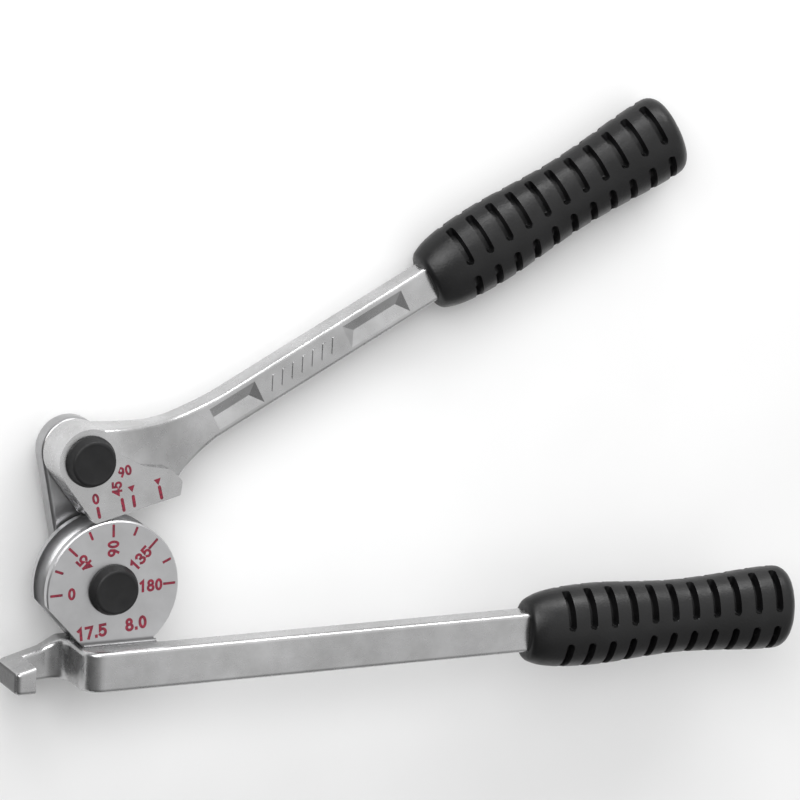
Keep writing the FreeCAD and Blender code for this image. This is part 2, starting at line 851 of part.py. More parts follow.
def make_dowels():
    """Two dowels, half in the wheel's foot and half in the handle's head."""
    dowels = []
    for alias in ("dowel_left", "dowel_right"):
        dowel = doc.addObject("Part::Cylinder", alias + "_pin")
        dowel.Placement = Placement(Vector(), Rotation(Vector(1, 0, 0), -90))
        dowel.setExpression("Radius", "Dimensions.dowel_radius")
        dowel.setExpression("Height", "2 * Dimensions.dowel_depth")
        place_at_wheel(dowel)
        dowel.setExpression(".Placement.Base.x", "Dimensions.head_x + Dimensions." + alias)
        low = "Dimensions.head_y - Dimensions.seat_drop - Dimensions.dowel_depth"
        dowel.setExpression(".Placement.Base.y", low)
        dowels.append(dowel)
    group = doc.addObject("Part::Compound", "wheel_dowels")
    group.Links = dowels
    group.Label = "wheel_dowels"
    sub_parts.append(group)


# ---------------------------------------------------------------------- output


def check_document():
    """Stop if any object failed, or if a sub-part has no valid solid."""
    for thing in doc.Objects:
        if "Invalid" in thing.State or "Error" in thing.State:
            raise RuntimeError("%s failed: %s" % (thing.Name, thing.State))
    for part in sub_parts:
        shape = part.Shape
        if shape.isNull() or not shape.isValid() or not shape.Solids:
            raise RuntimeError("%s has no valid solid" % part.Label)


def write_parts():
    whole = FreeCAD.BoundBox()
    for part in sub_parts:
        part.Shape.exportStep("parts/%s.step" % part.Label)
        box = part.Shape.BoundBox
        whole.add(box)
        print("%-20s %d solid(s) %9.1f mm3" % (part.Label, len(part.Shape.Solids), part.Shape.Volume))
    low = (whole.XMin, whole.YMin, whole.ZMin)
    high = (whole.XMax, whole.YMax, whole.ZMax)
    print("box", [round(value, 3) for value in low + high])


fill_sheet()
make_lower_handle()
make_forming_wheel()
make_link()
make_upper_handle()
make_grips()
make_pivots()
make_dowels()
doc.recompute()
check_document()
write_parts()
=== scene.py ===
import json
import math

import bmesh
import bpy
from mathutils import Matrix, Vector


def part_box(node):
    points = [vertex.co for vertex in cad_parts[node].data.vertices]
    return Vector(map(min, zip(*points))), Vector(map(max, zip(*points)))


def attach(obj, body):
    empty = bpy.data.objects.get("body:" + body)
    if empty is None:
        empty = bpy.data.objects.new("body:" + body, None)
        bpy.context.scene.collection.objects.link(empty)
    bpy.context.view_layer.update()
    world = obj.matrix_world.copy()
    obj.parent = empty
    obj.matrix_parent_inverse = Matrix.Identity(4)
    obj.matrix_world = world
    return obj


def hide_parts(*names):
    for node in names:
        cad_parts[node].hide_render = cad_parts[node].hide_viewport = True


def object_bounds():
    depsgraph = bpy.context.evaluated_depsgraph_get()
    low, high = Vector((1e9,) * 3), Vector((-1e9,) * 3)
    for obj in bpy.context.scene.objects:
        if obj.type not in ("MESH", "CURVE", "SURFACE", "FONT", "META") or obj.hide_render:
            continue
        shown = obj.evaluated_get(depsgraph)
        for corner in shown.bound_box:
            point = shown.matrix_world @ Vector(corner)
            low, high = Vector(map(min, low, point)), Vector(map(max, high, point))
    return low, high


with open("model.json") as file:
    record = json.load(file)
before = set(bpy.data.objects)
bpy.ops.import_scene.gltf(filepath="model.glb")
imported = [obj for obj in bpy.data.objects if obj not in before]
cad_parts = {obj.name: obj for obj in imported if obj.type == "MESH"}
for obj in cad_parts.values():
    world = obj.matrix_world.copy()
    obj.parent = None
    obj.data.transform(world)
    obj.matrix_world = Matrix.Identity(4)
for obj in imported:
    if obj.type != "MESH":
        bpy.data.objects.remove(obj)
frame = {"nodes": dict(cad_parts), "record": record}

# Looks of the lever tube bender. The tool lies on a pale floor with its dial face up.
# Lengths of the grips, caps and marks are written in millimetres and turned to metres by MM.
# The camera's sensor and lens are millimetres, as Blender takes them. All other lengths are metres.

CAD_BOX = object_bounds()
MIDDLE = (Vector(CAD_BOX[0]) + Vector(CAD_BOX[1])) / 2
MM = 0.001
JOINTS = frame["record"]["behaviour"]["joints"]
JOINT_POINTS = {joint["name"]: Vector(joint["pos_m"]) for joint in JOINTS}
WHEEL = JOINT_POINTS["link_swing"]
SHOE_PIN = JOINT_POINTS["handle_swing"]
ARM_TURN = math.radians(28.1)
SHOE_TURN = ARM_TURN - math.radians(13.9)


# ------------------------------------------------------------------ materials

NOISE_LOW = 0.3
NOISE_HIGH = 0.7
TURNED_LIGHTER = 1.12
SHADE_CORE = 0.6
# Each band of painted shade is an axis, a place on it, the half width and the share of the colour that is
# left.
# Painted shade on the hook's far end face, which faces away from the light.
HOOK_END_SHADE = ("X", CAD_BOX[0][0], 0.35 * MM, 0.22)
# Painted shade inside the wheel's groove, between its two flanges.
GROOVE_SHADE = ("Z", WHEEL.z, 3.9 * MM, 0.42)
# Painted shade in the concave corner where the wheel's foot meets the lower bar's top.
SEAT_DROP = 15.35 * MM
FOOT_CORNER_SHADE = ("Y", WHEEL.y - SEAT_DROP, 1.5 * MM, 0.40)


def new_material(name, metallic, roughness):
    """A new material and its Principled shader."""
    material = bpy.data.materials.new(name)
    material.use_nodes = True
    shader = material.node_tree.nodes["Principled BSDF"]
    shader.inputs["Metallic"].default_value = metallic
    shader.inputs["Roughness"].default_value = roughness
    return material, shader


def add_node(material, kind, **settings):
    """A new node of a kind, with its settings."""
    node = material.node_tree.nodes.new(kind)
    for name, value in settings.items():
        setattr(node, name, value)
    return node


def noise(material, scale, detail=4.0, roughness=0.55, stretch=(1.0, 1.0, 1.0)):
    """Grey noise over object space; a larger scale has more features to the metre."""
    tree = material.node_tree
    place = add_node(material, "ShaderNodeTexCoord")
    mapping = add_node(material, "ShaderNodeMapping")
    mapping.inputs["Scale"].default_value = stretch
    tree.links.new(place.outputs["Object"], mapping.inputs["Vector"])
    texture = add_node(material, "ShaderNodeTexNoise")
    texture.inputs["Scale"].default_value = scale
    texture.inputs["Detail"].default_value = detail
    texture.inputs["Roughness"].default_value = roughness
    tree.links.new(mapping.outputs["Vector"], texture.inputs["Vector"])
    return texture.outputs["Fac"]


def set_stops(node, stops):
    """Fill a colour ramp; stops are (position, colour)."""
    elements = node.color_ramp.elements
    while len(elements) < len(stops):
        elements.new(0.5)
    for element, (position, colour) in zip(elements, stops):
        element.position = position
        element.color = tuple(colour) + (1.0,)


def ramp(material, source, stops):
    """A colour ramp over a grey input."""
    node = add_node(material, "ShaderNodeValToRGB")
    set_stops(node, stops)
    material.node_tree.links.new(source, node.inputs["Fac"])
    return node.outputs["Color"]


def spread(material, source, low, high):
    """Remap a noise's middle range onto low..high."""
    node = add_node(material, "ShaderNodeMapRange")
    node.inputs["From Min"].default_value = NOISE_LOW
    node.inputs["From Max"].default_value = NOISE_HIGH
    node.inputs["To Min"].default_value = low
    node.inputs["To Max"].default_value = high
    material.node_tree.links.new(source, node.inputs["Value"])
    return node.outputs["Result"]


def bump(material, shader, height, distance, strength, under=None):
    """Bump from a height output; a first bump can lie under a second one."""
    node = add_node(material, "ShaderNodeBump")
    node.inputs["Strength"].default_value = strength
    node.inputs["Distance"].default_value = distance
    material.node_tree.links.new(height, node.inputs["Height"])
    if under is not None:
        material.node_tree.links.new(under.outputs["Normal"], node.inputs["Normal"])
    material.node_tree.links.new(node.outputs["Normal"], shader.inputs["Normal"])
    return node


def scaled(material, colour, share):
    """A colour times a grey share."""
    product = add_node(material, "ShaderNodeVectorMath", operation="MULTIPLY")
    material.node_tree.links.new(colour, product.inputs[0])
    material.node_tree.links.new(share, product.inputs[1])
    return product.outputs["Vector"]


def painted_shade_near(material, colour, shade_band):
    """Painted shade: darken a colour near one plane across an axis, fading out at half_width from it."""
    axis, place_on_axis, half_width, share = shade_band
    tree = material.node_tree
    place = add_node(material, "ShaderNodeTexCoord")
    parts = add_node(material, "ShaderNodeSeparateXYZ")
    tree.links.new(place.outputs["Object"], parts.inputs["Vector"])
    offset = add_node(material, "ShaderNodeMath", operation="SUBTRACT")
    tree.links.new(parts.outputs[axis], offset.inputs[0])
    offset.inputs[1].default_value = place_on_axis
    distance = add_node(material, "ShaderNodeMath", operation="ABSOLUTE")
    tree.links.new(offset.outputs["Value"], distance.inputs[0])
    fade = add_node(material, "ShaderNodeMapRange")
    fade.inputs["From Min"].default_value = half_width * SHADE_CORE
    fade.inputs["From Max"].default_value = half_width
    fade.inputs["To Min"].default_value = share
    fade.inputs["To Max"].default_value = 1.0
    tree.links.new(distance.outputs["Value"], fade.inputs["Value"])
    return scaled(material, colour, fade.outputs["Result"])


def plated_steel(name, dark, light, roughness, grain, shade_bands=()):
    """Satin plated steel: cloudy tone and gloss, with a fine grain over slight waves, and bands of painted
    shade where given.
    """
    material, shader = new_material(name, 1.0, roughness)
    tree = material.node_tree
    clouds = noise(material, scale=95.0, detail=6.0, roughness=0.62)
    patches = noise(material, scale=26.0, detail=4.0, roughness=0.6)
    tone = ramp(material, clouds, [(NOISE_LOW, dark), (NOISE_HIGH, light)])
    colour = scaled(material, tone, spread(material, patches, low=0.84, high=1.06))
    for shade_band in shade_bands:
        colour = painted_shade_near(material, colour, shade_band)
    tree.links.new(colour, shader.inputs["Base Color"])
    smears = noise(material, scale=210.0, detail=5.0)
    gloss = spread(material, smears, low=roughness - 0.03, high=roughness + 0.04)
    tree.links.new(gloss, shader.inputs["Roughness"])
    waves = noise(material, scale=60.0, detail=2.0)
    wavy = bump(material, shader, waves, distance=0.0008, strength=0.16)
    grains = noise(material, scale=2600.0, detail=3.0)
    bump(material, shader, grains, distance=0.00012, strength=grain, under=wavy)
    return material


def turned_steel(name, colour, roughness):
    """Machined steel with fine turning lines."""
    material, shader = new_material(name, 1.0, roughness)
    tree = material.node_tree
    clouds = noise(material, scale=400.0, detail=3.0)
    bright = [min(1.0, value * TURNED_LIGHTER) for value in colour]
    tone = ramp(material, clouds, [(NOISE_LOW, colour), (NOISE_HIGH, bright)])
    tree.links.new(tone, shader.inputs["Base Color"])
    lines = noise(material, scale=900.0, detail=4.0, stretch=(0.15, 0.15, 6.0))
    bump(material, shader, lines, distance=0.0001, strength=0.25)
    return material


def sintered_bronze():
    """Porous bushing bronze."""
    material, shader = new_material("sintered_bronze", 1.0, 0.42)
    tone = noise(material, scale=1500.0, detail=4.0)
    stops = [(0.35, (0.36, 0.22, 0.10)), (0.65, (0.62, 0.43, 0.22))]
    material.node_tree.links.new(ramp(material, tone, stops), shader.inputs["Base Color"])
    bump(material, shader, tone, distance=0.00015, strength=0.3)
    return material


def grip_rubber():
    """Black moulded rubber with a fine pebbled skin."""
    material, shader = new_material("grip_rubber", 0.0, 0.46)
    tree = material.node_tree
    shader.inputs["Specular IOR Level"].default_value = 0.38
    clouds = noise(material, scale=120.0, detail=4.0)
    stops = [(NOISE_LOW, (0.0035, 0.0035, 0.0037)), (NOISE_HIGH, (0.008, 0.008, 0.0085))]
    tree.links.new(ramp(material, clouds, stops), shader.inputs["Base Color"])
    smears = noise(material, scale=320.0, detail=3.0)
    tree.links.new(spread(material, smears, low=0.28, high=0.42), shader.inputs["Roughness"])
    pebbles = noise(material, scale=1500.0, detail=3.0)
    pebbled = bump(material, shader, pebbles, distance=0.00025, strength=0.22)
    pores = noise(material, scale=5200.0, detail=2.0)
    bump(material, shader, pores, distance=0.0001, strength=0.2, under=pebbled)
    return material


def cap_plastic():
    """Moulded black plastic with a faint spark-eroded texture."""
    material, shader = new_material("cap_plastic", 0.0, 0.5)
    tree = material.node_tree
    shader.inputs["Specular IOR Level"].default_value = 0.3
    clouds = noise(material, scale=260.0, detail=4.0)
    stops = [(NOISE_LOW, (0.008, 0.008, 0.0085)), (NOISE_HIGH, (0.013, 0.013, 0.0135))]
    tree.links.new(ramp(material, clouds, stops), shader.inputs["Base Color"])
    smears = noise(material, scale=900.0, detail=3.0)
    tree.links.new(spread(material, smears, low=0.42, high=0.56), shader.inputs["Roughness"])
    grains = noise(material, scale=3800.0, detail=3.0)
    bump(material, shader, grains, distance=0.0001, strength=0.25)
    return material


def red_paint():
    """Red marking paint, worn thin in places."""
    material, shader = new_material("red_paint", 0.0, 0.5)
    tone = noise(material, scale=1400.0, detail=4.0)
    stops = [(0.36, (0.10, 0.007, 0.021)), (0.62, (0.26, 0.012, 0.034))]
    material.node_tree.links.new(ramp(material, tone, stops), shader.inputs["Base Color"])
    bump(material, shader, tone, distance=0.0001, strength=0.35)
    return material


def floor_paper():
    """Plain pale paper."""
    material, shader = new_material("floor_paper", 0.0, 0.9)
    clouds = noise(material, scale=14.0, detail=3.0)
    stops = [(NOISE_LOW, (0.83, 0.83, 0.83)), (NOISE_HIGH, (0.86, 0.86, 0.86))]
    material.node_tree.links.new(ramp(material, clouds, stops), shader.inputs["Base Color"])
    return material


def paint_cad_nodes(materials):
    """Give every CAD node that stays its own finish."""
    finish_of = {
        "lower_handle": "forged",
        "upper_handle": "forged",
        "forming_wheel": "wheel",
        "link": "link",
        "wheel_pin": "turned",
        "shoe_pin": "turned",
        "wheel_dowels": "turned",
        "wheel_pin_washer": "turned",
        "shoe_pin_washer": "turned",
        "wheel_pin_ring": "dark",
        "shoe_pin_ring": "dark",
        "wheel_thrust_washer": "bronze",
        "shoe_thrust_washer": "bronze",
        "link_bush": "bronze",
        "shoe_bush": "bronze",
    }
    for node, finish in finish_of.items():
        for material_slot in frame["nodes"][node].material_slots:
            material_slot.material = materials[finish]


# ---------------------------------------------------------------- mesh helpers


def mesh_object(name, bm, material, sharp_degrees=38.0):
    """Turn a bmesh into a smooth-shaded object, sharp where faces meet steeply."""
    bmesh.ops.recalc_face_normals(bm, faces=bm.faces)
    mesh = bpy.data.meshes.new(name)
    bm.to_mesh(mesh)
    bm.free()
    mesh.materials.append(material)
    for polygon in mesh.polygons:
        polygon.use_smooth = True
    mesh.set_sharp_from_angle(angle=math.radians(sharp_degrees))
    thing = bpy.data.objects.new(name, mesh)
    bpy.context.collection.objects.link(thing)
    return thing


def join_rings(bm, rings):
    """Quads between neighbouring closed rings of vertices."""
    for near_ring, far_ring in zip(rings, rings[1:]):
        count = len(near_ring)
        for index in range(count):
            following = (index + 1) % count
            corners = (near_ring[index], near_ring[following], far_ring[following], far_ring[index])
            bm.faces.new(corners)


def close_ring(bm, ring, centre):
    """A fan from a ring to a centre point."""
    tip = bm.verts.new(centre)
    for index, vertex in enumerate(ring):
        bm.faces.new((vertex, ring[(index + 1) % len(ring)], tip))


def smooth_step(value):
    """0 to 1 with soft ends."""
    value = max(0.0, min(1.0, value))
    return value * value * (3.0 - 2.0 * value)


# ----------------------------------------------------------------------- grips

GRIP_LENGTH = 84.0
GRIP_FLATNESS = 0.745
GRIP_END_ROUND = 4.2
MOUTH_ROUND = 1.3
TANG_HOLE = (4.4, 2.4)
TANG_HOLE_DEPTH = 70.6
GRIP_PROFILE = [
    # distance from the mouth, half of the width, millimetres
    (0.0, 8.5),
    (4.5, 10.3),
    (12.0, 11.4),
    (23.5, 11.7),
    (35.5, 11.0),
    (47.0, 10.5),
    (59.0, 10.9),
    (70.0, 11.7),
    (78.0, 12.0),
    (84.0, 11.7),
]
SLOT_COUNT = 11
SLOT_FIRST = 11.2
SLOT_PITCH = 6.6
SLOT_HALF_WIDTH = 1.16
SLOT_DEPTH = 2.7
SLOT_WALL = 0.28
SLOT_HALF_TURN = math.radians(28.5)
SLOT_ROW_TURN = math.radians(5.0)
GRIP_SIDES = 240
MOUTH_STEPS = 6
END_STEPS = 8
SHOULDER_STATIONS = [2.6, 4.0, 5.6, 7.2, 8.6]
SLOT_FLOOR_EDGE = 0.5
SLOT_RIM = 0.25
SLOT_LAND = 1.2
END_RING_SHARES = (0.75, 0.45, 0.15)
UPPER_GRIP_START = 110.9 * MM
UPPER_GRIP_OFFSET = -14.2 * MM


def grip_half_width(distance):
    """Half width of the grip, by a smooth curve through the profile's points."""
    points = GRIP_PROFILE
    last = len(points) - 1
    index = next((i for i in range(last) if distance <= points[i + 1][0]), last - 1)
    slopes = []
    for at in (index, index + 1):
        before, after = points[max(at - 1, 0)], points[min(at + 1, last)]
        slopes.append((after[1] - before[1]) / (after[0] - before[0]))
    (x0, y0), (x1, y1) = points[index], points[index + 1]
    span = x1 - x0
    t = (distance - x0) / span
    rise = y1 - y0
    return y0 + t * t * (3 - 2 * t) * rise + span * t * (1 - t) * ((1 - t) * slopes[0] - t * slopes[1])


def slot_depth(distance, angle, half_width):
    """How deep the slots cut at this place: four rows of rounded slots, one on each diagonal."""
    nearest = round((distance - SLOT_FIRST) / SLOT_PITCH)
    nearest = max(0, min(SLOT_COUNT - 1, nearest))
    along = abs(distance - (SLOT_FIRST + nearest * SLOT_PITCH))
    quarter = math.pi / 2
    turn = ((angle - SLOT_ROW_TURN) % quarter) - quarter / 2
    mean_radius = half_width * (1 + GRIP_FLATNESS) / 2
    around = max(0.0, abs(turn) - SLOT_HALF_TURN) * mean_radius
    edge = SLOT_HALF_WIDTH - math.hypot(along, around)
    return SLOT_DEPTH * smooth_step(edge / SLOT_WALL)


def grip_stations():
    """Places of the grip's rings: close together at the slots' walls and at both rounded ends."""
    stations = [0.0]
    for step in range(1, MOUTH_STEPS + 1):
        stations.append(MOUTH_ROUND * (1 - math.cos(step * math.pi / 2 / MOUTH_STEPS)))
    stations += SHOULDER_STATIONS
    half = SLOT_HALF_WIDTH
    offsets = [0.0, half - SLOT_FLOOR_EDGE, half - SLOT_WALL, half - SLOT_WALL / 2]
    offsets += [half, half + SLOT_RIM, half + SLOT_LAND]
    for slot_index in range(SLOT_COUNT):
        centre = SLOT_FIRST + slot_index * SLOT_PITCH
        stations += [centre + side * offset for offset in offsets for side in (-1, 1)]
    for step in range(END_STEPS + 1):
        turn = step * math.pi / 2 / END_STEPS
        stations.append(GRIP_LENGTH - GRIP_END_ROUND * (1 - math.sin(turn)))
    return sorted(set(round(station, 4) for station in stations if station <= GRIP_LENGTH))


def end_inset(distance):
    """How far the rounded mouth and the rounded end draw the surface in."""
    from_end = distance - (GRIP_LENGTH - GRIP_END_ROUND)
    if from_end > 0:
        return GRIP_END_ROUND - math.sqrt(max(0.0, GRIP_END_ROUND ** 2 - from_end ** 2))
    if distance < MOUTH_ROUND:
        return MOUTH_ROUND - math.sqrt(max(0.0, MOUTH_ROUND ** 2 - (MOUTH_ROUND - distance) ** 2))
    return 0.0


def add_oval(bm, distance, half_width, half_thickness):
    """A ring of vertices, with the grip's own length as x, its width as y and its thickness as z."""
    ring = []
    for index in range(GRIP_SIDES):
        angle = 2 * math.pi * index / GRIP_SIDES
        y = half_width * math.cos(angle)
        z = half_thickness * math.sin(angle)
        ring.append(bm.verts.new((distance * MM, y * MM, z * MM)))
    return ring


def add_skin_ring(bm, distance):
    """A ring of the grip's outer skin, with the slots pressed in."""
    half_width = grip_half_width(distance)
    inset = end_inset(distance)
    ring = []
    for index in range(GRIP_SIDES):
        angle = 2 * math.pi * index / GRIP_SIDES
        normal = Vector((0, math.cos(angle) * GRIP_FLATNESS, math.sin(angle))).normalized()
        place = Vector((0, half_width * math.cos(angle), half_width * GRIP_FLATNESS * math.sin(angle)))
        place -= normal * (inset + slot_depth(distance, angle, half_width))
        place.x = distance
        ring.append(bm.verts.new(place * MM))
    return ring


def add_hole_ring(bm, distance):
    """A ring of the tang's hole, which is a rectangle."""
    across, through = TANG_HOLE
    ring = []
    for index in range(GRIP_SIDES):
        angle = 2 * math.pi * index / GRIP_SIDES
        reach = 1 / max(abs(math.cos(angle)) / across, abs(math.sin(angle)) / through)
        ring.append(bm.verts.new(Vector((distance, reach * math.cos(angle), reach * math.sin(angle))) * MM))
    return ring


def make_grip(name, node, body, start, turn, material):
    """The ribbed rubber sleeve that stands for a plain CAD grip."""
    bm = bmesh.new()
    rings = [add_hole_ring(bm, TANG_HOLE_DEPTH), add_hole_ring(bm, 0.0)]
    rings += [add_skin_ring(bm, distance) for distance in grip_stations()]
    end_width = grip_half_width(GRIP_LENGTH) - GRIP_END_ROUND
    for share in END_RING_SHARES:
        rings.append(add_oval(bm, GRIP_LENGTH, end_width * share, end_width * share * GRIP_FLATNESS))
    join_rings(bm, rings)
    close_ring(bm, rings[0], (TANG_HOLE_DEPTH * MM, 0, 0))
    close_ring(bm, rings[-1], (GRIP_LENGTH * MM, 0, 0))
    bm.transform(Matrix.Translation(start) @ Matrix.Rotation(turn, 4, "Z"))
    grip = mesh_object(name, bm, material)
    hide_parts(node)
    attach(grip, body)


def make_grips(material):
    """Both sleeves: the lower one along +X, the upper one along the arm."""
    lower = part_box("lower_grip")
    middle_y = (lower[0][1] + lower[1][1]) / 2
    middle_z = (lower[0][2] + lower[1][2]) / 2
    start = Vector((lower[0][0], middle_y, middle_z))
    make_grip("lower_grip_sleeve", "lower_grip", "lower_handle", start, 0.0, material)

    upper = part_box("upper_grip")
    along = Vector((math.cos(ARM_TURN), math.sin(ARM_TURN), 0))
    across = Vector((-math.sin(ARM_TURN), math.cos(ARM_TURN), 0))
    start = SHOE_PIN + along * UPPER_GRIP_START + across * UPPER_GRIP_OFFSET
    start.z = (upper[0][2] + upper[1][2]) / 2
    make_grip("upper_grip_sleeve", "upper_grip", "upper_handle", start, ARM_TURN, material)


# ------------------------------------------------------------------------ caps

CAP_PROFILE = [
    # radius and height above the cap's lower edge, millimetres
    (6.5, 0.0),
    (6.94, 0.0),
    (7.0, 0.06),
    (7.0, 0.62),
    (6.93, 0.82),
    (6.78, 0.98),
    (6.25, 2.62),
    (6.13, 2.86),
    (5.9, 3.05),
    (5.6, 3.13),
    (5.35, 3.15),
    (5.2, 3.1),
    (5.05, 3.08),
    (3.0, 3.08),
]
CAP_INSIDE = [(6.3, 0.0), (6.2, 2.0), (3.0, 2.2)]
CAP_DRAWN_HEIGHT = 3.35
CAP_SIDES = 128
CAP_SHARP_DEGREES = 30.0


def make_cap(name, node, body, material):
    """Black press-on cap: a low cone with rounded shoulders and a flat, faintly rimmed top."""
    low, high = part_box(node)
    centre = Vector(((low[0] + high[0]) / 2, (low[1] + high[1]) / 2, low[2]))
    scale = (high[2] - low[2]) / MM / CAP_DRAWN_HEIGHT
    bm = bmesh.new()
    rings = []
    for radius, height in list(reversed(CAP_INSIDE)) + CAP_PROFILE:
        ring = []
        for index in range(CAP_SIDES):
            angle = 2 * math.pi * index / CAP_SIDES
            place = Vector((radius * math.cos(angle), radius * math.sin(angle), height * scale)) * MM
            ring.append(bm.verts.new(place))
        rings.append(ring)
    join_rings(bm, rings)
    for ring, profile in ((rings[0], CAP_INSIDE), (rings[-1], CAP_PROFILE)):
        close_ring(bm, ring, Vector((0, 0, profile[-1][1] * scale)) * MM)
    bm.transform(Matrix.Translation(centre))
    cap = mesh_object(name, bm, material, CAP_SHARP_DEGREES)
    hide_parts(node)
    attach(cap, body)


# ----------------------------------------------------------------- dial marks

PAINT = 0.04
PAINT_SINK = 0.02
STROKE_LIFT = PAINT / 8
BAR_END_STEPS = 6
PEN_SHARE = 0.265
BEND_STRETCH_LIMIT = 0.45
BOW_STEP = 24
GLYPH_WIDTH = 1.0
GLYPH_HEIGHT = 1.6
GLYPH_ADVANCE = 1.36
GLYPH_DOT = 0.7
WHEEL_FACE = 5.85
SHOE_FACE = 5.8
DIAL_ZERO_TURN = 1.5
TICK_COUNT = 9
TICK_PITCH = 22.5
TICK_DEPTH = 0.2
TICK_PAINT_DROP = 0.03
TICK_WIDTH = 0.72
LONG_TICK_INNER = 14.85
SHORT_TICK_INNER = 15.85
TICK_OUTER = 17.75
DIAL_NUMERALS = ("180", "135", "90", "45", "0")
DIAL_NUMERAL_PITCH = 45
DIAL_NUMERAL_HEIGHT = 2.75
DIAL_NUMERAL_REACH = 10.9
DIAL_NUMERAL_REACH_STEP = 0.25
SIZE_NUMERALS = (("radius_mark", "17.5", (-5.8, -11.4)), ("tube_mark", "8.0", (7.0, -10.0)))
SIZE_NUMERAL_HEIGHT = 3.0
SIZE_NUMERAL_TURN = 6.5
SHOE_LINES = (
    ((-5.2, 22.9), (-4.6, 20.4)),
    ((1.7, 24.8), (2.4, 21.8)),
    ((4.9, 25.4), (5.4, 22.8)),
    ((12.4, 27.5), (13.2, 24.4)),
)
SHOE_LINE_WIDTH = 0.9
SHOE_POINTERS = ((4.3, 27.8), (11.8, 29.2))
SHOE_POINTER_REACH = 1.2
SHOE_NUMERALS = (
    # name, text, centre, height, and turn beyond the shoe's own, degrees
    ("shoe_numeral_zero", "0", (-5.9, 25.5), 2.5, 0),
    ("shoe_numeral_45", "45", (0.1, 27.9), 2.4, 80),
    ("shoe_numeral_90", "90", (2.2, 32.6), 2.4, 0),
)


def add_bar(bm, start, end, width, low, high):
    """A flat bar with rounded ends between two points, from one height to another."""
    start, end = Vector(start), Vector(end)
    along = (end - start).normalized()
    base = math.atan2(along.y, along.x)
    outline = []
    for centre, first in ((end, -90), (start, 90)):
        for step in range(BAR_END_STEPS + 1):
            angle = base + math.radians(first + step * 180 / BAR_END_STEPS)
            outline.append(centre + Vector((math.cos(angle), math.sin(angle))) * width / 2)
    rings = []
    for height in (low, high):
        rings.append([bm.verts.new(Vector((point.x, point.y, height)) * MM) for point in outline])
    join_rings(bm, rings)
    bm.faces.new(rings[0])
    bm.faces.new(rings[1])


def make_wheel_ticks(material):
    """Red paint lying in the wheel's engraved ticks."""
    bm = bmesh.new()
    low = WHEEL_FACE - TICK_DEPTH - PAINT_SINK
    high = WHEEL_FACE - TICK_PAINT_DROP
    for index in range(TICK_COUNT):
        angle = math.radians(index * TICK_PITCH + DIAL_ZERO_TURN)
        inner = LONG_TICK_INNER if index % 2 == 0 else SHORT_TICK_INNER
        direction = Vector((math.cos(angle), math.sin(angle)))
        add_bar(bm, direction * inner, direction * TICK_OUTER, TICK_WIDTH, low, high)
    bm.transform(Matrix.Translation(WHEEL))
    ticks = mesh_object("wheel_tick_paint", bm, material)
    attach(ticks, "lower_handle")


def bow(centre_x, centre_y, reach_x, reach_y, first, last):
    """Points along an oval's arc, from one angle to another, degrees."""
    count = max(2, round(abs(last - first) / BOW_STEP))
    points = []
    for step in range(count + 1):
        angle = math.radians(first + (last - first) * step / count)
        points.append((centre_x + reach_x * math.cos(angle), centre_y + reach_y * math.sin(angle)))
    return points


def glyph(character):
    """Pen strokes of a digit or a point, drawn about GLYPH_WIDTH wide and GLYPH_HEIGHT high."""
    return {
        "0": [bow(0.5, 0.8, 0.42, 0.78, 90, 450)],
        "1": [[(0.2, 1.3), (0.55, 1.58), (0.55, 0.0)]],
        "3": [bow(0.42, 1.18, 0.42, 0.4, 150, -90), bow(0.42, 0.39, 0.5, 0.4, 90, -150)],
        "4": [[(0.7, 1.5), (0.04, 0.5), (1.0, 0.5)], [(0.72, 1.56), (0.72, 0.0)]],
        "5": [[(0.92, 1.56), (0.16, 1.56), (0.12, 0.86)] + bow(0.44, 0.5, 0.48, 0.5, 100, -145)],
        "7": [[(0.04, 1.56), (0.92, 1.56), (0.34, 0.0)]],
        "8": [bow(0.5, 1.2, 0.36, 0.38, -90, 270), bow(0.5, 0.4, 0.45, 0.42, 90, 450)],
        "9": [bow(0.48, 1.12, 0.42, 0.46, 0, 360), [(0.9, 1.16), (0.86, 0.62), (0.5, 0.02)]],
        ".": [[(0.5, 0.02), (0.5, 0.1)]],
    }[character]


def add_ribbon(bm, points, width, low, high):
    """A flat ribbon along a path; a path that ends where it starts becomes a closed band."""
    closed = math.dist(points[0], points[-1]) < width / 10
    if closed:
        points = points[:-1]
    last = len(points) - 1
    rings = []
    for index, point in enumerate(points):
        here = Vector(point)
        before = Vector(points[index - 1]) if index > 0 or closed else None
        after = Vector(points[(index + 1) % len(points)]) if index < last or closed else None
        into = (here - before).normalized() if before is not None else (after - here).normalized()
        out = (after - here).normalized() if after is not None else into
        along = (into + out).normalized()
        side = Vector((-along.y, along.x)) * width / 2 / max(BEND_STRETCH_LIMIT, along.dot(into))
        if before is None:
            here -= along * width / 2
        if after is None:
            here += along * width / 2
        corners = [(here + side, low), (here + side, high), (here - side, high), (here - side, low)]
        rings.append([bm.verts.new((place.x, place.y, height)) for place, height in corners])
    join_rings(bm, rings)
    if closed:
        join_rings(bm, [rings[-1], rings[0]])
    else:
        bm.faces.new(rings[0])
        bm.faces.new(rings[-1])


